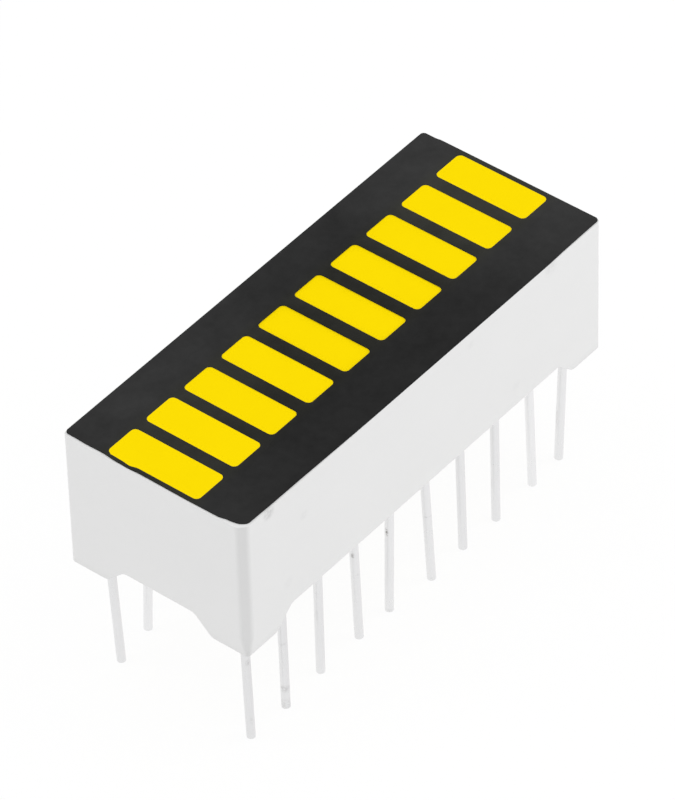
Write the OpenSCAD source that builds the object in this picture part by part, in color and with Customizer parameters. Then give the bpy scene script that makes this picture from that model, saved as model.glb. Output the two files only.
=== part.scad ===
// Bar light display: ten resin light bars in a moulded reflector housing on two rows of round pins.
// Millimetres, +Z up, +X along the row of bars.
// The origin is the centre of the pin pattern on the seating plane of the feet.

/* [Display] */
// Number of light bars in the row
bar_count = 10; // [2:1:10]
// Distance from one bar to the next and from one pin to the next
pitch = 2.54; // [2.2:0.02:3.2]
// Length of a bar across the face
bar_l = 5.06; // [3.4:0.02:7]
// Width of a bar along the row
bar_w = 1.82; // [1.4:0.02:2.2]
// Radius of the corners of a bar
bar_r = 0.25; // [0.1:0.05:0.6]
// Shift of the bars from the centre line towards the back row of pins
bar_shift = 0.22; // [-0.8:0.02:0.8]
// Thickness of the dark mask on the face
mask_t = 0.05; // [0.02:0.01:0.4]

/* [Housing] */
// Skin between the outermost bar and the end of the housing
end_skin = 0.28; // [0.12:0.01:2]
// Distance from a row of pins to the long side of the housing
row_side = 1.22; // [1.05:0.01:3]
// Depth of the reflector cups
cup_depth = 4.55; // [2.5:0.05:8]
// Length of the floor of a cup
cup_floor_l = 2.4; // [2.2:0.1:3.2]
// Width of the floor of a cup
cup_floor_w = 1.2; // [0.7:0.05:1.7]
// Depth of the straight lip at the mouth of a cup
cup_lip = 0.4; // [0.1:0.05:1.5]
// Thickness of the skirt round the board
skirt_t = 0.5; // [0.3:0.05:0.6]
// Chamfer on the upright edge that marks the first pin
corner_c = 0.36; // [0.2:0.02:0.6]
// Rounding of the other upright edges
edge_r = 0.2; // [0.1:0.05:0.6]

/* [Feet] */
// Height of the raised edge of the skirt above the seating plane
foot_h = 0.95; // [0.5:0.05:2]
// Length of a corner foot along each of its two sides
foot_l = 2.05; // [1.2:0.05:3]
// Run of the sloping flank of a foot
foot_run = 1; // [0.3:0.05:1.4]
// Rounding at both ends of the flank of a foot
foot_r = 0.5; // [0.05:0.05:0.6]

/* [Circuit board] */
// Thickness of the board
board_t = 1; // [0.6:0.1:2]
// Clearance between the board and the skirt
board_gap = 0.05; // [0.02:0.01:0.12]
// Thickness of the copper tracks
track_t = 0.05; // [0.03:0.01:0.1]
// Width of a copper track
track_w = 0.4; // [0.2:0.05:0.8]
// Radius of the copper ring round a pin
pad_r = 0.45; // [0.4:0.01:0.6]
// Side of the square pad under a chip
chip_pad = 0.6; // [0.4:0.05:0.8]
// Side of the square pad under the foot of a bond wire
bond_pad = 0.4; // [0.2:0.05:0.6]

/* [Chips] */
// Side of a light emitting chip
chip_w = 0.3; // [0.2:0.02:0.4]
// Height of a light emitting chip
chip_h = 0.25; // [0.1:0.01:0.4]
// Distance from the centre of a chip to the foot of its bond wire
bond_span = 0.85; // [0.75:0.05:0.95]
// Diameter of a bond wire
wire_d = 0.04; // [0.03:0.01:0.08]
// Straight rise of a bond wire above its chip
wire_rise = 0.1; // [0.05:0.05:0.5]

/* [Pins] */
// Distance between the two rows of pins
row_spacing = 7.62; // [7.4:0.01:12]
// Diameter of a pin
pin_d = 0.42; // [0.3:0.02:0.5]
// Length of a pin below the seating plane
pin_l = 6.65; // [3:0.05:12]
// Straight length of a pin below the seating plane, above its bend
pin_straight = 0.6; // [0.4:0.1:2]
// Height of the bend of a pin that leans
bend_h = 0.1; // [0.05:0.05:0.5]
// Angle in degrees of one step of lean of the handled pins, with 0 for straight pins
lean_angle = 0.5; // [0:0.1:1]
// Chamfer at the tip of a pin
tip_c = 0.08; // [0.02:0.01:0.12]
// Growth in diameter from the seating plane to the head of a pin
root_grow = 0.07; // [0.02:0.01:0.12]
// Clearance between the head of a pin and the hole in the board
hole_gap = 0.02; // [0.01:0.01:0.05]
// Height of a solder joint
solder_h = 0.35; // [0.2:0.05:0.8]
// Copper left bare round a solder joint
solder_inset = 0.03; // [0.01:0.01:0.08]
// Width of the upper rim of a solder joint
solder_rim = 0.03; // [0.02:0.01:0.06]
// Height of the head of a pin above its solder joint
head_h = 0.1; // [0.05:0.05:0.4]
// Room round the solder joints in the underside of the reflector
relief_gap = 0.08; // [0.03:0.01:0.1]

/* [Filling] */
// Thickness of the resin under the board
filling_t = 0.95; // [0.5:0.05:2]
// Depth of the face of the resin above the raised edge of the skirt
filling_recess = 0.1; // [0.05:0.05:0.4]

/* [Hidden] */
$fn = 48;
// Overlap of a cut past the face that it opens
cut = 1;
row_l = (bar_count - 1) * pitch;
body_l = row_l + bar_w + 2 * end_skin;
body_w = row_spacing + 2 * row_side;
well_l = body_l - 2 * skirt_t;
well_w = body_w - 2 * skirt_t;
board_l = well_l - 2 * board_gap;
board_w = well_w - 2 * board_gap;
// Levels from the seating plane upwards
filling_z = foot_h + filling_recess;
board_z = filling_z + filling_t;
track_z = board_z + board_t;
cup_z = track_z + track_t;
mask_z = cup_z + cup_depth;
head_z = cup_z + solder_h + head_h;
pin_r = pin_d / 2;
head_r = pin_r + root_grow / 2;
hole_r = head_r + hole_gap;
tip_r = pin_r - tip_c;
// Steps of lean towards +X and +Y of the pins of a row from its -X end
front_lean = [[2, -1], [-1, -2], [1, 1], [5, 1], [-2, 1], [2, -4], [0, -2], [-3, -3], [3, -1], [-5, 1]];
back_lean = [[5, -1], [0, 6]];

function label(i) = str(i < 10 ? "0" : "", i);
function names(stem, count) = [for (i = [1:count]) str(stem, "_", label(i))];
function bar_x(i) = (i - (bar_count + 1) / 2) * pitch;
// Pins are numbered along the front row and back along the back row
function in_front(i) = i <= bar_count;
function place(i) = in_front(i) ? i : 2 * bar_count + 1 - i;
function pin_x(i) = bar_x(place(i));
function pin_y(i) = (in_front(i) ? -1 : 1) * row_spacing / 2;
function listed(list, k) = k <= len(list) ? list[k - 1] : [0, 0];
function pin_lean(i) = lean_angle * listed(in_front(i) ? front_lean : back_lean, place(i));
function unit(v) = v / norm(v);

// Rectangle with round corners
module rounded(l, w, r) {
    square([l - 2 * r, w], center = true);
    square([l, w - 2 * r], center = true);
    for (x = [-1, 1], y = [-1, 1])
        translate([x * (l / 2 - r), y * (w / 2 - r)]) circle(r);
}

// What a round of radius r takes off the corner p between the directions a and b
module corner(p, a, b, r) {
    half = acos(a * b) / 2;
    reach = r / tan(half);
    centre = unit(a + b) * r / sin(half);
    translate(p) difference() {
        polygon([[0, 0], a * reach, centre, b * reach]);
        translate(centre) circle(r);
    }
}

// Outline of the block: round at three corners, with a chamfer with round ends at the first pin
module outline() {
    x = body_l / 2;
    y = body_w / 2;
    points = [[corner_c - x, -y], [x, -y], [x, y], [-x, y], [-x, corner_c - y]];
    rounds = [corner_c, edge_r, edge_r, edge_r, corner_c];
    count = len(points);
    difference() {
        polygon(points);
        for (k = [0:count - 1]) {
            p = points[k];
            next = points[(k + 1) % count];
            last = points[(k + count - 1) % count];
            corner(p, unit(next - p), unit(last - p), rounds[k]);
        }
    }
}

// Opening between the two feet of a side of length l, with round flanks
module notch(l) {
    low = l / 2 - foot_l;
    high = low - foot_run;
    difference() {
        polygon([[-low, -cut], [-low, 0], [-high, foot_h], [high, foot_h], [low, 0], [low, -cut]]);
        for (s = [-1, 1])
            corner([s * high, foot_h], [-s, 0], unit([s * foot_run, -foot_h]), foot_r);
    }
    for (s = [-1, 1])
        corner([s * low, 0], [s, 0], unit([-s * foot_run, foot_h]), foot_r);
}

// Wedge that is as wide as the floor at z = 0 and as wide as the mouth under the lip of a cup
module wedge(floor_w, mouth_w) {
    low = floor_w / 2;
    top = cup_depth + mask_t;
    high = low + (mouth_w - floor_w) / 2 * top / (cup_depth - cup_lip);
    polygon([[-low, 0], [low, 0], [high, top], [-high, top]]);
}

// Space of one light bar, from the floor of its cup to the face of the display
module cup(i) {
    translate([bar_x(i), bar_shift, cup_z]) intersection() {
        linear_extrude(cup_depth + mask_t) rounded(bar_w, bar_l, bar_r);
        rotate([90, 0, 0]) linear_extrude(bar_l + cut, center = true) wedge(cup_floor_w, bar_w);
        rotate([90, 0, 90]) linear_extrude(bar_w + cut, center = true) wedge(cup_floor_l, bar_l);
    }
}

// Room in the underside of the reflector for the heads of one row of pins
module relief(y) {
    half = pad_r + relief_gap;
    translate([-row_l / 2 - half, y - half, cup_z - cut])
        cube([row_l + 2 * half, 2 * half, cut + solder_h + head_h + relief_gap]);
}

module housing() {
    color([0.88, 0.88, 0.87]) difference() {
        linear_extrude(mask_z) outline();
        translate([-well_l / 2, -well_w / 2, -cut]) cube([well_l, well_w, cut + cup_z]);
        for (s = [-1, 1]) relief(s * row_spacing / 2);
        for (i = [1:bar_count]) cup(i);
        rotate([90, 0, 0]) linear_extrude(body_w + 2 * cut, center = true) notch(body_l);
        rotate([90, 0, 90]) linear_extrude(body_l + 2 * cut, center = true) notch(body_w);
    }
}

module face_mask() {
    color([0.2, 0.2, 0.2]) translate([0, 0, mask_z]) linear_extrude(mask_t) difference() {
        outline();
        for (i = [1:bar_count])
            translate([bar_x(i), bar_shift]) rounded(bar_w, bar_l, bar_r);
    }
}

// Conical root of a pin, from the seating plane to its head
module pin_root(i) {
    translate([pin_x(i), pin_y(i), 0]) cylinder(h = head_z, r1 = pin_r, r2 = head_r);
}

module circuit_board() {
    color([0.25, 0.45, 0.3]) translate([0, 0, board_z]) linear_extrude(board_t) difference() {
        square([board_l, board_w], center = true);
        for (i = [1:2 * bar_count])
            translate([pin_x(i), pin_y(i)]) circle(hole_r);
    }
}

// Track from pin i to a square pad whose centre lies at pad_y beside the middle of the bar
module track(i, pad_y, pad) {
    y = pin_y(i);
    end = bar_shift + pad_y;
    translate([pin_x(i), 0, track_z]) linear_extrude(track_t) difference() {
        intersection() {
            union() {
                translate([0, y]) circle(pad_r);
                translate([-track_w / 2, min(y, end)]) square([track_w, abs(y - end)]);
                translate([0, end]) square(pad, center = true);
            }
            translate([-pin_x(i), 0]) square([board_l, board_w], center = true);
        }
        translate([0, y]) circle(hole_r);
    }
}

module anode_tracks() {
    color([0.85, 0.6, 0.3]) for (i = [1:bar_count]) track(i, -bond_span, bond_pad);
}

module cathode_tracks() {
    color([0.85, 0.6, 0.3]) for (i = [bar_count + 1:2 * bar_count]) track(i, 0, chip_pad);
}

module solder_joints() {
    color([0.75, 0.76, 0.78]) for (i = [1:2 * bar_count]) difference() {
        translate([pin_x(i), pin_y(i), cup_z])
            cylinder(h = solder_h, r1 = pad_r - solder_inset, r2 = head_r + solder_rim);
        pin_root(i);
    }
}

module back_filling() {
    color([0.86, 0.8, 0.55]) difference() {
        translate([-well_l / 2, -well_w / 2, filling_z]) cube([well_l, well_w, filling_t]);
        for (i = [1:2 * bar_count]) pin_root(i);
    }
}

module chip(i) {
    color([0.7, 0.65, 0.3]) translate([bar_x(i) - chip_w / 2, bar_shift - chip_w / 2, cup_z])
        cube([chip_w, chip_w, chip_h]);
}

// Fine wire from the top of a chip over a half round loop down to its pad
module bond_wire(i) {
    loop_r = bond_span / 2;
    loop_z = chip_h + wire_rise;
    color([0.95, 0.8, 0.4]) translate([bar_x(i), bar_shift, cup_z]) {
        translate([0, 0, chip_h]) cylinder(h = wire_rise, d = wire_d);
        translate([0, -loop_r, loop_z]) rotate([90, 0, 90])
            rotate_extrude(angle = 180) translate([loop_r, 0]) circle(d = wire_d);
        translate([0, -bond_span, 0]) cylinder(h = loop_z, d = wire_d);
    }
}

module segment(i) {
    color([1, 0.87, 0]) difference() {
        cup(i);
        chip(i);
        bond_wire(i);
    }
}

// Round leg of length l that runs down from the origin to a chamfered tip
module leg(l) {
    rotate_extrude() polygon([[0, 0], [pin_r, 0], [pin_r, tip_c - l], [tip_r, -l], [0, -l]]);
}

// Leg with a straight upper part, a bend through the angle lean and an inclined lower part
module leaning_leg(lean) {
    bend_r = bend_h / sin(lean);
    foot_x = bend_r * (1 - cos(lean));
    foot_z = -pin_straight - bend_h;
    translate([0, 0, -pin_straight]) cylinder(h = pin_straight, r = pin_r);
    translate([bend_r, 0, -pin_straight]) rotate([-90, 0, 180])
        rotate_extrude(angle = lean) translate([bend_r, 0]) circle(pin_r);
    translate([foot_x, 0, foot_z]) rotate([0, -lean, 0])
        leg((pin_l + foot_z - tip_r * sin(lean)) / cos(lean));
}

module pin(i) {
    lean = pin_lean(i);
    color([0.8, 0.81, 0.82]) {
        pin_root(i);
        translate([pin_x(i), pin_y(i), 0]) rotate([0, 0, atan2(lean[1], lean[0])]) {
            if (norm(lean) == 0) leg(pin_l);
            else leaning_leg(norm(lean));
        }
    }
}

housing();
face_mask();
circuit_board();
anode_tracks();
cathode_tracks();
solder_joints();
back_filling();
for (i = [1:bar_count]) {
    segment(i);
    chip(i);
    bond_wire(i);
}
for (i = [1:2 * bar_count])
    pin(i);
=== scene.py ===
from math import cos, pi, radians, sin

import bmesh
import bpy
from mathutils import Matrix, Vector


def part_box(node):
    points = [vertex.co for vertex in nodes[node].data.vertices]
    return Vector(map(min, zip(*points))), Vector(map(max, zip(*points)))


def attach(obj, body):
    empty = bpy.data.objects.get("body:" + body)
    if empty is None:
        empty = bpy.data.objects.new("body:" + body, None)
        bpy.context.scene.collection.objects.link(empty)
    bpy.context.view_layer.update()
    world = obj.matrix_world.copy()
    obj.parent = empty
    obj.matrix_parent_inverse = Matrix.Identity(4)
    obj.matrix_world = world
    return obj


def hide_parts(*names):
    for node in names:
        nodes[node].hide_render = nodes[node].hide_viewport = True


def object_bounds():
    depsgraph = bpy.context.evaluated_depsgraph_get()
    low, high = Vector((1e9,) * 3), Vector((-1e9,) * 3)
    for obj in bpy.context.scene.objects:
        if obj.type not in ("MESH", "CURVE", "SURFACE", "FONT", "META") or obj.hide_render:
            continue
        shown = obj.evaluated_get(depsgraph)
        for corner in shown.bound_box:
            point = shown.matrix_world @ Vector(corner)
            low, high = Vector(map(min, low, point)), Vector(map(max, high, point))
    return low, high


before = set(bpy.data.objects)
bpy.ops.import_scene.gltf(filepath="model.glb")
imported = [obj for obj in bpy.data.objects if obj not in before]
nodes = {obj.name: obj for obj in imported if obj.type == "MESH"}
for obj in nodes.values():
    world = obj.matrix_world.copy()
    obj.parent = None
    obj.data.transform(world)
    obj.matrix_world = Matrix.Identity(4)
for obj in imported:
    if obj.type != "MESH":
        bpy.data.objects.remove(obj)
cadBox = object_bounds()
mm = 0.001
barNames = [f"segment_{i:02d}" for i in range(1, 11)]
pinGrid = {"count": 10, "first": -11.43, "pitch": 2.54, "row": 3.81}  # in mm, from the middle
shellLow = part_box("housing")[0]
maskLow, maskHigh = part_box("face_mask")
floorLevel = cadBox[0].z
white = (1, 1, 1, 1)


class Value:
    # a node's output that takes part in plain arithmetic
    def __init__(self, look, socket):
        self.look = look
        self.socket = socket

    def maths(self, operation, first, second):
        return self.look.add("ShaderNodeMath", {"operation": operation}, {0: first, 1: second})

    def __add__(self, other):
        return self.maths("ADD", self, other)

    def __radd__(self, other):
        return self.maths("ADD", other, self)

    def __sub__(self, other):
        return self.maths("SUBTRACT", self, other)

    def __rsub__(self, other):
        return self.maths("SUBTRACT", other, self)

    def __mul__(self, other):
        return self.maths("MULTIPLY", self, other)

    def __rmul__(self, other):
        return self.maths("MULTIPLY", other, self)


class Look:
    # the node tree of one material, or of the world
    def __init__(self, owner):
        owner.use_nodes = True
        self.owner = owner
        self.tree = owner.node_tree
        self.tree.nodes.clear()

    def add(self, kind, settings=None, sockets=None, out=0):
        node = self.tree.nodes.new(kind)
        for key, value in (settings or {}).items():
            setattr(node, key, value)
        for key, value in (sockets or {}).items():
            if isinstance(value, Value):
                self.tree.links.new(value.socket, node.inputs[key])
            else:
                node.inputs[key].default_value = value
        return Value(self, node.outputs[out]) if node.outputs else node

    def place(self):
        return self.add("ShaderNodeTexCoord", out="Object")

    def axis(self, place, name):
        return self.add("ShaderNodeSeparateXYZ", sockets={0: place}, out=name)

    def stretched(self, place, scale):
        return self.add("ShaderNodeVectorMath", {"operation": "MULTIPLY"}, {0: place, 1: scale})

    def noise(self, place, size, detail=2, rough=0.5):
        values = {"Vector": place, "Scale": 1 / size, "Detail": detail, "Roughness": rough}
        return self.add("ShaderNodeTexNoise", sockets=values, out="Fac")

    def cells(self, place, size):
        values = {"Vector": place, "Scale": 1 / size}
        return self.add("ShaderNodeTexVoronoi", sockets=values, out="Distance")

    def rise(self, value, low, high):
        # 0 below low and 1 above high, smooth between them; low may be the larger
        values = {"Value": value, "From Min": low, "From Max": high}
        return self.add("ShaderNodeMapRange", {"interpolation_type": "SMOOTHSTEP"}, values)

    def spot(self, place, centre, radius, core=0.25):
        # 1 in the core of a round spot, 0 from its radius on
        values = {0: place, 1: centre}
        away = self.add("ShaderNodeVectorMath", {"operation": "DISTANCE"}, values, "Value")
        return self.rise(away, radius, radius * core)

    def grey(self, value):
        return self.add("ShaderNodeCombineColor", sockets={0: value, 1: value, 2: value})

    def blend(self, part, first, second):
        settings = {"data_type": "RGBA"}
        return self.add("ShaderNodeMix", settings, {0: part, 6: first, 7: second}, 2)

    def shaded(self, colour, value):
        # a colour made darker or lighter by a value
        settings = {"data_type": "RGBA", "blend_type": "MULTIPLY"}
        return self.add("ShaderNodeMix", settings, {0: 1.0, 6: colour, 7: self.grey(value)}, 2)

    def bump(self, height, depth, under=None):
        values = {"Height": height, "Distance": depth, "Strength": 1.0}
        if under:
            values["Normal"] = under
        return self.add("ShaderNodeBump", sockets=values)

    def surface(self, **sockets):
        values = {key.replace("_", " "): value for key, value in sockets.items()}
        if "Specular" in values:
            values["Specular IOR Level"] = values.pop("Specular")
        shader = self.add("ShaderNodeBsdfPrincipled", sockets=values)
        self.add("ShaderNodeOutputMaterial", sockets={"Surface": shader})
        return self.owner


def newLook(name):
    return Look(bpy.data.materials.new(name))


def sway(noise, amount):
    # what a noise adds about its middle
    return (noise - 0.5) * amount


def partsOf(finish):
    # sizes of the patterns, what each does to the colour and to the roughness, and its depth
    return [finish[key] for key in ("size", "tint", "dull", "relief")]


def pinAxis(pin):
    # the pins are numbered along the front row and back along the other
    count = pinGrid["count"]
    place, side = (pin - 1, -1) if pin <= count else (2 * count - pin, 1)
    return Vector((pinGrid["first"] + pinGrid["pitch"] * place, pinGrid["row"] * side, 0)) * mm


def housingPlastic():
    plastic = {
        "shade": 0.800, "rough": 0.46, "gloss": 0.12,
        "size": {"cloud": 3.2 * mm, "flow": 1.6 * mm, "grain": 0.10 * mm, "dirt": 0.9 * mm,
                 "broken": 0.16 * mm},
        "tint": {"cloud": 0.022, "flow": 0.012, "grain": 0.012, "dirt": 0.02, "foot": 0.03},
        "dull": {"cloud": 0.12, "grain": 0.10, "foot": 0.06},
        "relief": {"grain": 0.0012 * mm, "flow": 0.006 * mm},
        "along": (0.35, 1, 1),  # the way the plastic flowed in the mould
        "footTop": 0.5 * mm,
        # place along the near side, height, radius (mm) and depth
        "smudges": [(-10.86, 7.36, 0.48, 0.20), (8.98, 7.40, 0.60, 0.08), (-8.54, 5.48, 0.35, 0.05),
                    (-9.78, 2.35, 0.45, 0.03), (3.2, 6.9, 0.30, 0.04), (6.4, 2.1, 0.40, 0.03)],
    }
    size, tint, dull, relief = partsOf(plastic)
    look = newLook("housingPlastic")
    place = look.place()
    cloud = look.noise(place, size["cloud"], detail=3)
    flow = look.noise(look.stretched(place, plastic["along"]), size["flow"])
    grain = look.noise(place, size["grain"], rough=0.6)
    dirt = look.rise(look.noise(place, size["dirt"], detail=4, rough=0.65), low=0.66, high=0.82)
    foot = look.rise(look.axis(place, "Z"), low=plastic["footTop"], high=0.0)
    swing = 1 + sway(cloud, tint["cloud"]) + sway(flow, tint["flow"]) + sway(grain, tint["grain"])
    shade = plastic["shade"] * swing * (1 - dirt * tint["dirt"]) * (1 - foot * tint["foot"])
    broken = look.rise(look.noise(place, size["broken"], detail=3), low=0.2, high=0.6)
    for x, z, radius, depth in plastic["smudges"]:
        mark = look.spot(place, (x * mm, shellLow.y, z * mm), radius * mm)
        shade = shade * (1 - mark * broken * depth)
    colour = look.shaded(white, shade)
    rough = plastic["rough"] + sway(cloud, dull["cloud"]) + sway(grain, dull["grain"]) - foot * dull["foot"]
    normal = look.bump(grain, relief["grain"], look.bump(flow, relief["flow"]))
    return look.surface(Base_Color=colour, Roughness=rough, Specular=plastic["gloss"], Normal=normal)


def maskFilm():
    black = {
        "tone": 0.0184, "rough": 0.56, "gloss": 0.03,
        "size": {"mottle": 1.6 * mm, "blotch": 0.42 * mm, "fine": 0.09 * mm, "rub": 0.5 * mm},
        "tint": {"mottle": 0.013, "blotch": 0.008, "fine": 0.004, "rub": 0.002},
        "dull": {"mottle": 0.18, "fine": 0.10, "rub": 0.10},
        "relief": {"fine": 0.0015 * mm, "mottle": 0.004 * mm},
        "along": (1, 0.25, 1),  # the way the film is rubbed
        # place, radius (mm) and strength of the painted sheen: broad paler patches where the film would
        # catch the lights
        "paintedSheen": [(14.5, 0.0, 12.5, 0.0155), (-15.0, -1.0, 9.0, 0.0085), (-6.5, 5.6, 7.5, 0.0120),
                 (1.0, 6.5, 6.0, 0.0070), (-11.5, 5.5, 5.0, 0.0050), (8.5, 6.0, 6.0, 0.0050)],
        "patchy": (0.7, 0.6),  # the least of a painted sheen patch, and what the mottle adds to it
        "row": {"middle": 0.22 * mm, "none": 3.1 * mm, "full": 2.2 * mm},
        "smear": (1.08, 1.09, 0.92, 1),
    }
    size, tint, dull, relief = partsOf(black)
    look = newLook("maskFilm")
    place = look.place()
    mottle = look.noise(place, size["mottle"], detail=4, rough=0.6)
    blotch = look.noise(place, size["blotch"], detail=3, rough=0.55)
    fine = look.noise(place, size["fine"], rough=0.6)
    rubbed = look.noise(look.stretched(place, black["along"]), size["rub"], detail=4, rough=0.6)
    rub = look.rise(rubbed, low=0.60, high=0.84)
    tone = black["tone"] + sway(mottle, tint["mottle"]) + sway(blotch, tint["blotch"])
    tone = tone + sway(fine, tint["fine"]) + rub * tint["rub"]
    least, more = black["patchy"]
    # painted sheen: the black is made paler in broad patches, as if the lights gleamed on it
    for x, y, radius, strength in black["paintedSheen"]:
        sheenPatch = look.spot(place, (x * mm, y * mm, maskHigh.z), radius * mm)
        tone = tone + sheenPatch * (least + mottle * more) * strength
    row = black["row"]
    aside = look.add("ShaderNodeMath", {"operation": "ABSOLUTE"}, {0: look.axis(place, "Y") - row["middle"]})
    smear = look.rise(aside, low=row["none"], high=row["full"])  # a breath of resin between the bars
    colour = look.shaded(look.blend(smear, white, black["smear"]), tone)
    rough = black["rough"] + sway(mottle, dull["mottle"]) + sway(fine, dull["fine"]) + rub * dull["rub"]
    normal = look.bump(fine, relief["fine"], look.bump(mottle, relief["mottle"]))
    return look.surface(Base_Color=colour, Roughness=rough, Specular=black["gloss"], Normal=normal)


def segmentResin():
    yellow = {
        "face": (0.985, 0.738, 0.0006, 1), "deep": (0.955, 0.690, 0.0004, 1), "rough": 0.42, "gloss": 0.008,
        "size": {"cloud": 1.4 * mm, "speck": 0.11 * mm, "settle": 0.45 * mm, "skin": 0.07 * mm},
        "tint": {"settle": 0.22, "speck": 0.25, "cloud": 0.03},
        "dull": {"cloud": 0.14, "speck": 0.06},
        "relief": {"skin": 0.0008 * mm, "cloud": 0.004 * mm},
    }
    size, tint, dull, relief = partsOf(yellow)
    look = newLook("segmentResin")
    place = look.place()
    cloud = look.noise(place, size["cloud"], detail=3)
    speck = look.rise(look.cells(place, size["speck"]), low=0.030, high=0.012)
    settle = look.rise(look.noise(place, size["settle"], detail=3, rough=0.6), low=0.45, high=0.85)
    depth = settle * tint["settle"] + speck * tint["speck"]
    colour = look.blend(depth, yellow["face"], yellow["deep"])
    colour = look.shaded(colour, 1 + sway(cloud, tint["cloud"]))
    rough = yellow["rough"] + sway(cloud, dull["cloud"]) + speck * dull["speck"]
    skin = look.noise(place, size["skin"])
    normal = look.bump(skin, relief["skin"], look.bump(cloud, relief["cloud"]))
    return look.surface(Base_Color=colour, Roughness=rough, Specular=yellow["gloss"], Normal=normal)


def pinTin():
    tin = {
        "metal": (0.800, 0.800, 0.806, 1), "stainAndShade": (0.30, 0.29, 0.28, 1), "rough": 0.30,
        "size": {"drawn": 0.05 * mm, "dip": 0.55 * mm, "pits": 0.13 * mm, "broken": 0.10 * mm},
        "tint": {"drawn": 0.07, "dip": 0.06, "pits": 0.18, "root": 0.16, "cut": 0.20},
        "dull": {"dip": 0.14, "drawn": 0.12, "soilAndShade": 0.25},
        "relief": {"drawn": 0.0016 * mm, "dip": 0.010 * mm},
        "drawnAlong": (1, 1, 0.03), "dipAlong": (1, 1, 0.5),
        # painted shade: the pins are darkened where they go up under the body
        "root": {"low": -0.5 * mm, "high": 1.1 * mm},
        "cut": {"low": floorLevel + 0.10 * mm, "high": floorLevel + 0.02 * mm},
        # pin, place across it, level, width (mm), height by width, depth of dark marks: stains, with painted
        # shade in the spots at the tops of pins 1, 4 and 5 where they pass under the housing and in the long
        # streaks down the left side of pins 8 and 10
        "marks": [(1, 0.09, -1.80, 0.15, 1.8, 0.30), (1, 0.16, -5.40, 0.12, 3.0, 0.12),
                  (2, 0.00, -2.60, 0.25, 0.6, 0.16), (2, 0.02, -5.35, 0.36, 0.9, 0.32),
                  (2, 0.12, -5.80, 0.14, 1.3, 0.30), (2, 0.05, -6.30, 0.36, 1.4, 0.26),
                  (3, -0.10, -2.90, 0.12, 4.0, 0.10), (4, -0.05, -1.15, 0.13, 2.0, 0.60),
                  (4, 0.15, -2.40, 0.12, 1.0, 0.18), (4, 0.17, -5.80, 0.12, 1.2, 0.18),
                  (5, -0.13, -1.65, 0.12, 2.8, 0.95), (5, -0.11, -6.45, 0.20, 0.8, 0.25),
                  (6, 0.09, -2.62, 0.28, 0.25, 0.25), (6, 0.24, -6.40, 0.20, 0.6, 0.12),
                  (8, -0.12, -4.35, 0.16, 3.5, 0.22), (10, -0.24, -4.20, 0.17, 7.0, 0.24),
                  (10, -0.20, -6.60, 0.28, 0.5, 0.34)],
        "across": Vector((0.643, -0.766, 0)), "skin": Vector((-0.115, -0.096, 0)),
        # pin and how much lighter its tin is painted: painted light on the pins that catch more of it, and
        # painted shade where the number is below 0
        "paintedLight": [(1, -0.020), (3, 0.026), (4, 0.034), (5, 0.050), (6, 0.040), (7, 0.020), (8, 0.020),
                  (9, 0.085), (10, 0.045), (19, 0.066)],
        "reach": 1.6 * mm,
    }
    size, tint, dull, relief = partsOf(tin)
    look = newLook("pinTin")
    place = look.place()
    height = look.axis(place, "Z")
    drawn = look.noise(look.stretched(place, tin["drawnAlong"]), size["drawn"], detail=3, rough=0.6)
    dip = look.noise(look.stretched(place, tin["dipAlong"]), size["dip"], detail=3)
    pits = look.rise(look.noise(place, size["pits"], detail=3, rough=0.7), low=0.64, high=0.80)
    root = look.rise(height, **tin["root"])
    cut = look.rise(height, **tin["cut"])
    # the pits and the cut ends are the tin's own marks; the root term is painted shade
    soilAndShade = pits * tint["pits"] + root * tint["root"] + cut * tint["cut"]
    broken = look.rise(look.noise(place, size["broken"]), low=0.30, high=0.60)
    # the marks darken the tin: stains, and painted shade for the ones named with the table
    for pin, across, level, width, tall, depth in tin["marks"]:
        beside = (tin["across"] * across + tin["skin"]) * mm
        centre = pinAxis(pin) + beside + Vector((0, 0, level / tall * mm))
        mark = look.spot(look.stretched(place, (1, 1, 1 / tall)), centre, width * mm)
        soilAndShade = soilAndShade + mark * broken * depth
    colour = look.blend(soilAndShade, tin["metal"], tin["stainAndShade"])
    bright = 1 + sway(drawn, tint["drawn"]) + sway(dip, tint["dip"])
    flat = look.stretched(place, (1, 1, 0))
    # painted light and shade, pin by pin
    for pin, change in tin["paintedLight"]:
        bright = bright + look.spot(flat, pinAxis(pin), tin["reach"]) * change
    colour = look.shaded(colour, bright)
    rough = tin["rough"] + sway(dip, dull["dip"]) + sway(drawn, dull["drawn"]) + soilAndShade * dull["soilAndShade"]
    normal = look.bump(drawn, relief["drawn"], look.bump(dip, relief["dip"]))
    return look.surface(Base_Color=colour, Roughness=rough, Metallic=1.0, Normal=normal)


def boardLaminate():
    laminate = {
        "low": (0.09, 0.24, 0.12, 1), "high": (0.14, 0.31, 0.17, 1), "rough": 0.45,
        "size": {"cloud": 2.0 * mm},
        "tint": {"weave": 0.5, "cloud": 0.3},
        "dull": {"cloud": 0.2},
        "relief": {"weave": 0.004 * mm},
        "threads": {"Scale": 320.0, "Distortion": 0.6},
    }
    size, tint, dull, relief = partsOf(laminate)
    look = newLook("boardLaminate")
    place = look.place()
    bands = {"Vector": place, **laminate["threads"]}
    warp, weft = (look.add("ShaderNodeTexWave", {"wave_type": "BANDS", "bands_direction": way}, bands, "Fac")
                  for way in ("X", "Y"))
    weave = warp * weft
    cloud = look.noise(place, size["cloud"], detail=3)
    part = weave * tint["weave"] + cloud * tint["cloud"]
    colour = look.blend(part, laminate["low"], laminate["high"])
    rough = laminate["rough"] + sway(cloud, dull["cloud"])
    return look.surface(Base_Color=colour, Roughness=rough, Normal=look.bump(weave, relief["weave"]))


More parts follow.
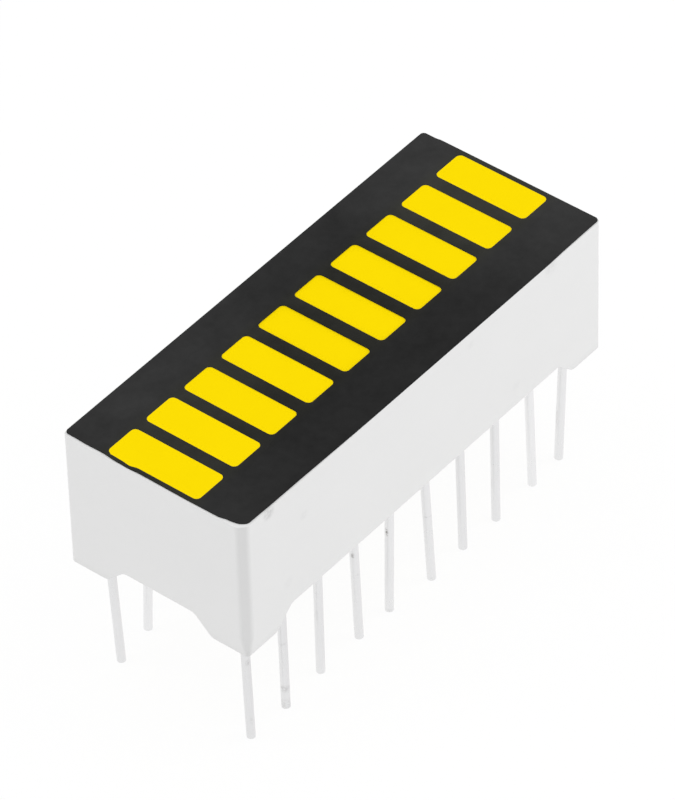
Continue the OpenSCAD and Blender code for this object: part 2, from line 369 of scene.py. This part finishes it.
def copperTrack():
    copper = {
        "bright": (0.86, 0.45, 0.27, 1), "tarnished": (0.42, 0.20, 0.11, 1), "rough": 0.28,
        "size": {"brushed": 0.06 * mm, "tarnish": 0.8 * mm},
        "dull": {"brushed": 0.12, "tarnish": 0.20},
        "along": (1, 0.08, 1), "relief": 0.001 * mm,
    }
    size, dull = copper["size"], copper["dull"]
    look = newLook("copperTrack")
    place = look.place()
    brushed = look.noise(look.stretched(place, copper["along"]), size["brushed"], detail=3)
    tarnish = look.rise(look.noise(place, size["tarnish"], detail=4, rough=0.6), low=0.45, high=0.75)
    colour = look.blend(tarnish, copper["bright"], copper["tarnished"])
    rough = copper["rough"] + brushed * dull["brushed"] + tarnish * dull["tarnish"]
    normal = look.bump(brushed, copper["relief"])
    return look.surface(Base_Color=colour, Roughness=rough, Metallic=1.0, Normal=normal)


def solderTin():
    solder = {
        "clean": (0.72, 0.72, 0.71, 1), "fluxed": (0.42, 0.36, 0.22, 1), "rough": 0.22,
        "size": {"frost": 0.12 * mm, "flux": 0.5 * mm},
        "dull": {"frost": 0.25, "flux": 0.2},
        "flux": 0.5, "relief": 0.004 * mm,
    }
    size, dull = solder["size"], solder["dull"]
    look = newLook("solderTin")
    place = look.place()
    frost = look.noise(place, size["frost"], detail=4, rough=0.6)
    flux = look.rise(look.noise(place, size["flux"], detail=3), low=0.55, high=0.80)
    colour = look.blend(flux * solder["flux"], solder["clean"], solder["fluxed"])
    rough = solder["rough"] + frost * dull["frost"] + flux * dull["flux"]
    normal = look.bump(frost, solder["relief"])
    return look.surface(Base_Color=colour, Roughness=rough, Metallic=1.0, Normal=normal)


def fillingResin():
    filling = {
        "pale": (0.83, 0.77, 0.53, 1), "deep": (0.74, 0.65, 0.39, 1), "rough": 0.30, "gloss": 0.40,
        "size": {"cloud": 2.6 * mm, "grit": 0.16 * mm, "pores": 0.75 * mm},
        "tint": {"cloud": 0.8, "grit": 0.10, "pores": 0.45},
        "dull": {"cloud": 0.16, "grit": 0.08},
        "relief": {"cloud": 0.03 * mm, "grit": 0.003 * mm, "pores": 0.03 * mm},
    }
    size, tint, dull, relief = partsOf(filling)
    look = newLook("fillingResin")
    place = look.place()
    cloud = look.noise(place, size["cloud"], detail=4, rough=0.55)
    grit = look.noise(place, size["grit"], rough=0.6)
    pores = look.rise(look.cells(place, size["pores"]), low=0.10, high=0.05)
    colour = look.blend(cloud * tint["cloud"], filling["pale"], filling["deep"])
    colour = look.shaded(colour, (1 + sway(grit, tint["grit"])) * (1 - pores * tint["pores"]))
    rough = filling["rough"] + cloud * dull["cloud"] + grit * dull["grit"]
    normal = look.bump(cloud, relief["cloud"], look.bump(grit, relief["grit"]))
    normal = look.bump(1 - pores, relief["pores"], normal)
    return look.surface(Base_Color=colour, Roughness=rough, Specular=filling["gloss"], Normal=normal)


def chipCrystal():
    crystal = {
        "dark": (0.42, 0.24, 0.07, 1), "light": (0.58, 0.36, 0.12, 1), "rough": 0.2, "dull": 0.2,
        "size": 0.02 * mm, "along": (1, 1, 0.1), "relief": 0.001 * mm,
    }
    look = newLook("chipCrystal")
    sawn = look.noise(look.stretched(look.place(), crystal["along"]), crystal["size"], detail=3)
    colour = look.blend(sawn, crystal["dark"], crystal["light"])
    rough = crystal["rough"] + sawn * crystal["dull"]
    return look.surface(Base_Color=colour, Roughness=rough, Normal=look.bump(sawn, crystal["relief"]))


def goldWire():
    gold = {"light": (0.98, 0.74, 0.30, 1), "deep": (0.86, 0.60, 0.20, 1), "rough": 0.18, "dull": 0.14,
            "size": 0.03 * mm}
    look = newLook("goldWire")
    drawn = look.noise(look.place(), gold["size"])
    colour = look.blend(drawn, gold["light"], gold["deep"])
    return look.surface(Base_Color=colour, Roughness=gold["rough"] + drawn * gold["dull"], Metallic=1.0)


materials = {
    "housing": housingPlastic(), "mask": maskFilm(), "bar": segmentResin(), "pin": pinTin(),
    "board": boardLaminate(), "track": copperTrack(), "solder": solderTin(),
    "filling": fillingResin(), "chip": chipCrystal(), "wire": goldWire(),
}
kinds = {
    "housing": "housing", "face_mask": "mask", "segment": "bar", "pin": "pin", "circuit_board": "board",
    "anode_tracks": "track", "cathode_tracks": "track", "solder_joints": "solder",
    "back_filling": "filling", "chip": "chip", "bond_wire": "wire",
}
for name, node in nodes.items():
    material = materials[kinds[name.rstrip("0123456789").rstrip("_")]]
    for slot in node.material_slots:
        slot.material = material
print("materials on", len(nodes), "nodes")

smoothAngle = radians(32)  # faces that meet at less than this are shaded as one
sharpAngle = radians(40)  # edges with more than this get a bevel
flatAngle = radians(0.4)
weldGap = 0.0002 * mm
touch = 0.001 * mm  # what counts as the same level


def addObject(name, data):
    thing = bpy.data.objects.new(name, data)
    bpy.context.scene.collection.objects.link(thing)
    return thing


def pickOnly(piece):
    bpy.ops.object.select_all(action="DESELECT")
    piece.select_set(True)
    bpy.context.view_layer.objects.active = piece


def pickParts(piece, kind, test):
    # picks the vertices, edges or faces that pass the test, in edit mode
    bpy.ops.mesh.select_mode(type=kind)
    bpy.ops.mesh.select_all(action="DESELECT")
    mesh = bmesh.from_edit_mesh(piece.data)
    for part in {"VERT": mesh.verts, "EDGE": mesh.edges, "FACE": mesh.faces}[kind]:
        if test(part):
            part.select = True
    mesh.select_flush_mode()
    bmesh.update_edit_mesh(piece.data)


def copyOf(name, pieceName):
    # a copy of a node's mesh with its seams closed and its flat faces whole, left in edit mode
    piece = addObject(pieceName, nodes[name].data.copy())
    pickOnly(piece)
    bpy.ops.mesh.customdata_custom_splitnormals_clear()
    bpy.ops.object.mode_set(mode="EDIT")
    bpy.ops.mesh.select_all(action="SELECT")
    bpy.ops.mesh.remove_doubles(threshold=weldGap)
    bpy.ops.mesh.dissolve_limited(angle_limit=flatAngle)
    return piece


def softenEdges(piece, width, test):
    # bevels the sharp edges that pass the test
    pickParts(piece, "EDGE", lambda e: e.is_manifold and e.calc_face_angle() > sharpAngle and test(e))
    bpy.ops.mesh.bevel(offset=width, segments=2, affect="EDGES", clamp_overlap=True)


def standFor(piece, name):
    # ends a piece that takes the place of a node
    bpy.ops.object.mode_set(mode="OBJECT")
    pickOnly(piece)
    bpy.ops.object.shade_smooth_by_angle(angle=smoothAngle)
    weigh = piece.modifiers.new("weigh", "WEIGHTED_NORMAL")
    weigh.keep_sharp = True
    bpy.ops.object.modifier_apply(modifier="weigh")
    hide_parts(name)
    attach(piece, "root")


# housing: the moulding with the edges of its skirt and feet softened
shell = {
    "soft": 0.03 * mm,
    "below": 1.25 * mm,  # the edges up to this height are softened
    "reach": 0.55 * mm,  # how far the near corner goes
    "upright": 0.1,
    "runOut": 0.95 * mm,
    "point": 0.35,
}
housing = copyOf("housing", "housingShell")


def nearCorner(v):
    return v.co.x - shellLow.x + v.co.y - shellLow.y < shell["reach"]


def cornerWall(f):
    return abs(f.normal.z) < shell["upright"] and all(nearCorner(v) for v in f.verts)


# the chamfer of the near upright edge runs out in its foot, which ends in a point
pickParts(housing, "FACE", cornerWall)
bpy.ops.mesh.bisect(plane_co=(0, 0, shell["runOut"]), plane_no=(0, 0, 1))
pickParts(housing, "VERT", lambda v: nearCorner(v) and v.co.z < shell["soft"])
narrower = (shell["point"], shell["point"], 1)
bpy.ops.transform.resize(value=narrower, center_override=(shellLow.x, shellLow.y, 0))
softenEdges(housing, shell["soft"], lambda e: max(v.co.z for v in e.verts) < shell["below"])
standFor(housing, "housing")
print("housing", len(housing.data.polygons), "faces")

# mask: the black film with a soft edge, laid a little short of the block's edges and worn at two corners
film = {
    "soft": 0.015 * mm,
    "top": maskHigh.z - touch,
    "rim": 0.22 * mm,  # what moves of the film, from its edge inwards
    "corner": 0.60 * mm,
    "edges": [  # places along an edge and how far the film stays back there, in mm
        {"axis": 1, "side": -1, "back": [(-5.00, 0.150), (-4.60, 0.222), (-4.05, 0.165), (-3.65, 0.070),
                                         (-1.90, 0.048), (0.75, 0.066), (1.40, 0.030), (2.00, 0.046),
                                         (2.95, 0.118), (3.60, 0.100), (4.80, 0.130)]},
        {"axis": 1, "side": 1, "back": [(3.95, 0.0), (4.35, 0.050)]},
        {"axis": 0, "side": -1, "back": [(-11.90, 0.105), (-10.40, 0.080), (-3.00, 0.012), (8.50, 0.010),
                                         (10.40, 0.052), (11.90, 0.065)]},
    ],
}
run = {  # where the resin of the first bars ran past their rims before it set
    "out": [(0.95, 0.0), (1.45, 0.105), (1.85, 0.055), (2.50, 0.035)],  # along the first rim, in mm
    "over": {1: (0.053, 0.020), 2: (0.041, 0.018)},  # bar and how far in +X and +Y, in mm
    "fit": 0.004 * mm,
    "top": maskHigh.z - 0.03 * mm,
}
firstLow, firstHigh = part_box(barNames[0])


def strayAt(stops, place):
    # how far an edge strays at a place along it, smooth from stop to stop
    for (near, first), (far, second) in zip(stops, stops[1:]):
        if place < far * mm:
            part = min(max((place - near * mm) / ((far - near) * mm), 0), 1)
            return (first + (second - first) * (1 - cos(pi * part)) / 2) * mm
    return stops[-1][1] * mm


def cutAlong(axis, stops, cuts=4):
    # cuts the whole mesh across an edge, so that the edge can curve from stop to stop
    normal = Vector()
    normal[axis] = 1
    for (near, _), (far, _) in zip(stops, stops[1:]):
        for cut in range(cuts + 1):
            bpy.ops.mesh.select_all(action="SELECT")
            bpy.ops.mesh.bisect(plane_co=normal * (near + (far - near) * cut / cuts) * mm, plane_no=normal)


def drawEdge(piece, axis, side, stops, test):
    # moves the vertices of an edge across it, to the side given
    places = {v.co[axis] for v in bmesh.from_edit_mesh(piece.data).verts if test(v)}
    for place in sorted(places):
        shift = Vector()
        shift[1 - axis] = side * strayAt(stops, place)
        if shift.length > 0:
            pickParts(piece, "VERT", lambda v: test(v) and v.co[axis] == place)
            bpy.ops.transform.translate(value=shift)


def atFilmEdge(axis, side):
    outer = (maskHigh if side > 0 else maskLow)[1 - axis]
    first, last = maskLow[axis] + film["corner"], maskHigh[axis] - film["corner"]

    def test(v):
        reach = film["rim"] if first < v.co[axis] < last else film["corner"]
        return abs(v.co[1 - axis] - outer) < reach
    return test


def atFirstRim(v):
    return abs(v.co.x - firstLow.x) < run["fit"] and v.co.z > film["top"]


def growRim(piece, number):
    # moves the +X and +Y rims of a bar's window at the top, in the film and in the bar alike
    low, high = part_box(barNames[number - 1])
    centre = (low + high) / 2
    for axis, out in enumerate(run["over"].get(number, ())):
        most = [high[k] + 2 * run["fit"] + out * mm for k in (0, 1)]

        def atRim(v):
            inside = all(low[k] - run["fit"] < v.co[k] < most[k] for k in (0, 1))
            return inside and v.co.z > run["top"] and v.co[axis] > centre[axis]
        shift = Vector()
        shift[axis] = out * mm
        pickParts(piece, "VERT", atRim)
        bpy.ops.transform.translate(value=shift)


mask = copyOf("face_mask", "faceMask")
for edge in film["edges"]:
    cutAlong(edge["axis"], edge["back"])
cutAlong(1, run["out"])
for edge in film["edges"]:
    drawEdge(mask, edge["axis"], -edge["side"], edge["back"], atFilmEdge(edge["axis"], edge["side"]))
drawEdge(mask, 1, -1, run["out"], atFirstRim)
for number in run["over"]:
    growRim(mask, number)
softenEdges(mask, film["soft"], lambda e: min(v.co.z for v in e.verts) > film["top"])
standFor(mask, "face_mask")
print("mask", len(mask.data.polygons), "faces")

# light bars: the resin shrinks a little as it sets, so each face sinks inside its rim
resin = {
    "insets": (0.08 * mm, 0.16 * mm), "sink": 0.010 * mm,
    "low": {3: 0.018, 4: 0.023, 5: 0.048, 6: 0.046, 7: 0.038, 8: 0.028, 9: 0.016},  # bars filled less, in mm
}
firstBar = copyOf(barNames[0], "lightBar.01")
pickParts(firstBar, "FACE", lambda f: min(v.co.z for v in f.verts) > firstHigh.z - touch)
for inset in resin["insets"]:
    bpy.ops.mesh.inset(thickness=inset, use_boundary=True)
    bpy.ops.transform.translate(value=(0, 0, -resin["sink"]))
bpy.ops.mesh.select_all(action="SELECT")
bpy.ops.mesh.bisect(plane_co=(0, 0, maskLow.z), plane_no=(0, 0, 1))
bpy.ops.object.mode_set(mode="OBJECT")
bars = [firstBar]
for number, name in enumerate(barNames[1:], 2):
    bar = addObject(f"lightBar.{number:02d}", firstBar.data.copy())
    bar.data.transform(Matrix.Translation(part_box(name)[0] - firstLow))
    bars.append(bar)
for number, (bar, name) in enumerate(zip(bars, barNames), 1):
    pickOnly(bar)
    bpy.ops.object.mode_set(mode="EDIT")
    if bar == firstBar:
        cutAlong(1, run["out"])
        drawEdge(bar, 1, -1, run["out"], atFirstRim)
    growRim(bar, number)
    pickParts(bar, "VERT", lambda v: v.co.z > run["top"])
    bpy.ops.transform.translate(value=(0, 0, -resin["low"].get(number, 0) * mm))
    standFor(bar, name)
print("light bars", len(bars), "of", len(bars[1].data.polygons), "faces")

# filling: the resin under the board climbs a little at the skirt and round each pin
cast = {
    "bury": 0.02 * mm,  # what lies inside the flat filling
    "bite": 0.004 * mm,  # what lies inside the wall or the pin
    "wall": {"rise": 0.07 * mm, "reach": 0.34 * mm},
    "pin": {"rise": 0.13 * mm, "reach": 0.24 * mm, "radius": 0.2195 * mm, "sides": 40},
    "curve": [0.07, 0.16, 0.28, 0.45, 0.68, 1.0],
    "steep": 2.3,
}
fillLow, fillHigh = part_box("back_filling")


def sweepSlope(half, turn, shape):
    # takes a loop of edges along the slope of the resin, inwards (1) or outwards (-1), and closes the ring
    section = [(0, -shape["rise"])]
    section += [(shape["reach"] * t, -shape["rise"] * (1 - t) ** cast["steep"]) for t in cast["curve"]]
    section += [(shape["reach"], cast["bury"]), (0, cast["bury"])]
    lastOut, lastLevel = 0, cast["bury"]
    for out, level in section:
        bpy.ops.mesh.extrude_region()
        sizes = [(half[k] - turn * out) / (half[k] - turn * lastOut) for k in (0, 1)]
        bpy.ops.transform.resize(value=(*sizes, 1), center_override=(0, 0, 0))
        bpy.ops.transform.translate(value=(0, 0, level - lastLevel))
        lastOut, lastLevel = out, level
    bpy.ops.mesh.select_all(action="SELECT")
    bpy.ops.mesh.remove_doubles(threshold=weldGap)
    bpy.ops.mesh.normals_make_consistent(inside=False)
    bpy.ops.object.mode_set(mode="OBJECT")
    return bpy.context.object


skirtHalf = [fillHigh[k] + cast["bite"] for k in (0, 1)]
bpy.ops.object.select_all(action="DESELECT")
bpy.ops.mesh.primitive_plane_add(size=2, enter_editmode=True, location=(0, 0, 0))
bpy.ops.transform.resize(value=(*skirtHalf, 1), center_override=(0, 0, 0))
bpy.ops.transform.translate(value=(0, 0, cast["bury"]))
bpy.ops.mesh.delete(type="ONLY_FACE")
bpy.ops.mesh.select_all(action="SELECT")
slope = sweepSlope(skirtHalf, 1, cast["wall"])
slope.data.transform(Matrix.Translation((0, 0, fillLow.z)))
slope.name = "fillingSlope"

pinRadius = cast["pin"]["radius"] - cast["bite"]
bpy.ops.object.select_all(action="DESELECT")
bpy.ops.mesh.primitive_circle_add(
    vertices=cast["pin"]["sides"], radius=pinRadius, enter_editmode=True, location=(0, 0, 0))
bpy.ops.transform.translate(value=(0, 0, cast["bury"]))
collar = sweepSlope((pinRadius, pinRadius), -1, cast["pin"])
collars = []
for pin in range(1, 2 * pinGrid["count"] + 1):
    ring = addObject("collar", collar.data.copy())
    ring.data.transform(Matrix.Translation(pinAxis(pin) + Vector((0, 0, fillLow.z))))
    collars.append(ring)
bpy.data.objects.remove(collar)
pickOnly(slope)
for ring in collars:
    ring.select_set(True)
bpy.ops.object.join()
slope.data.materials.append(materials["filling"])
bpy.ops.object.shade_smooth_by_angle(angle=smoothAngle)
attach(slope, "root")
print("filling slope", len(slope.data.polygons), "faces")

# floor and surroundings
ground = {
    "size": 6.0,
    "grey": 0.90, "grain": 4 * mm, "mottle": 0.01,
    "glow": 1.012, "white": 0.92,  # what the camera sees is mostly plain white, with the shadow left in
    "ambient": 0.70,
}


def seenWhite(look):
    # 1 for the rays that show the surroundings, 0 for the light that they give
    direct, mirrored, through = (look.add("ShaderNodeLightPath", out=f"Is {kind} Ray")
                                 for kind in ("Camera", "Glossy", "Transmission"))
    return look.add("ShaderNodeMath", {"operation": "MINIMUM"}, {0: direct + mirrored + through, 1: 1.0})


def floorPaper():
    look = newLook("floorPaper")
    grain = look.noise(look.place(), ground["grain"], detail=3)
    colour = look.grey(ground["grey"] + sway(grain, ground["mottle"]))
    matt = look.add("ShaderNodeBsdfDiffuse", sockets={"Color": colour})
    glow = look.add("ShaderNodeEmission", sockets={"Color": white, "Strength": ground["glow"]})
    part = seenWhite(look) * ground["white"]
    mixed = look.add("ShaderNodeMixShader", sockets={0: part, 1: matt, 2: glow})
    look.add("ShaderNodeOutputMaterial", sockets={"Surface": mixed})
    return look.owner


bpy.ops.object.select_all(action="DESELECT")
bpy.ops.mesh.primitive_plane_add(size=ground["size"], location=(0, 0, floorLevel))
floor = bpy.context.object
floor.name = "floor"
floor.data.materials.append(floorPaper())

world = bpy.data.worlds.new("studio")
bpy.context.scene.world = world
sky = Look(world)
strength = ground["ambient"] + seenWhite(sky) * (1 - ground["ambient"])
air = sky.add("ShaderNodeBackground", sockets={"Color": white, "Strength": strength})
sky.add("ShaderNodeOutputWorld", sockets={"Surface": air})

lamps = {  # the way a lamp lies, its angle above the floor, distance and size (m), and level
    "leftSoft": {"from": (-0.72, 0.69), "height": 20, "reach": 0.30, "size": 0.18, "level": 0.222},
    "rightSoft": {"from": (0.69, -0.72), "height": 20, "reach": 0.30, "size": 0.18, "level": 0.327},
    "topSoft": {"from": (0.0, 0.0), "height": 90, "reach": 0.35, "size": 0.30, "level": 0.160},
}
for name, lamp in lamps.items():
    light = bpy.data.lights.new(name, "AREA")
    light.size = lamp["size"]
    light.energy = pi * pi * lamp["reach"] ** 2 * lamp["level"]
    tilt = radians(lamp["height"])
    away = Vector((lamp["from"][0] * cos(tilt), lamp["from"][1] * cos(tilt), sin(tilt)))
    stand = addObject(name, light)
    stand.location = away * lamp["reach"]
    stand.rotation_euler = away.to_track_quat("Z", "Y").to_euler()
    stand.visible_camera = False
print("floor and", len(lamps), "lights")

# camera: target and distance in mm, angles in degrees
view = {"target": (1.954, 1.686, 0.75), "turn": -50.008, "height": 42.719, "roll": -1.828,
        "reach": 301.337, "lens": 301.757, "sensor": 36, "near": 0.01, "far": 20}
turn, height, roll = (radians(view[key]) for key in ("turn", "height", "roll"))
back = Vector((sin(turn) * cos(height), -cos(turn) * cos(height), sin(height)))
side = Vector((0, 0, 1)).cross(back).normalized()
up = back.cross(side)
right = side * cos(roll) + up * sin(roll)
upright = up * cos(roll) - side * sin(roll)
lens = bpy.data.cameras.new("camera")
lens.lens = view["lens"]
lens.sensor_width = view["sensor"]
lens.clip_start = view["near"]
lens.clip_end = view["far"]
camera = addObject("camera", lens)
camera.matrix_world = Matrix.LocRotScale(
    (Vector(view["target"]) + back * view["reach"]) * mm, Matrix((right, upright, back)).transposed(), None)
bpy.context.scene.camera = camera
bpy.context.scene.view_settings.view_transform = "Standard"
print("camera set")
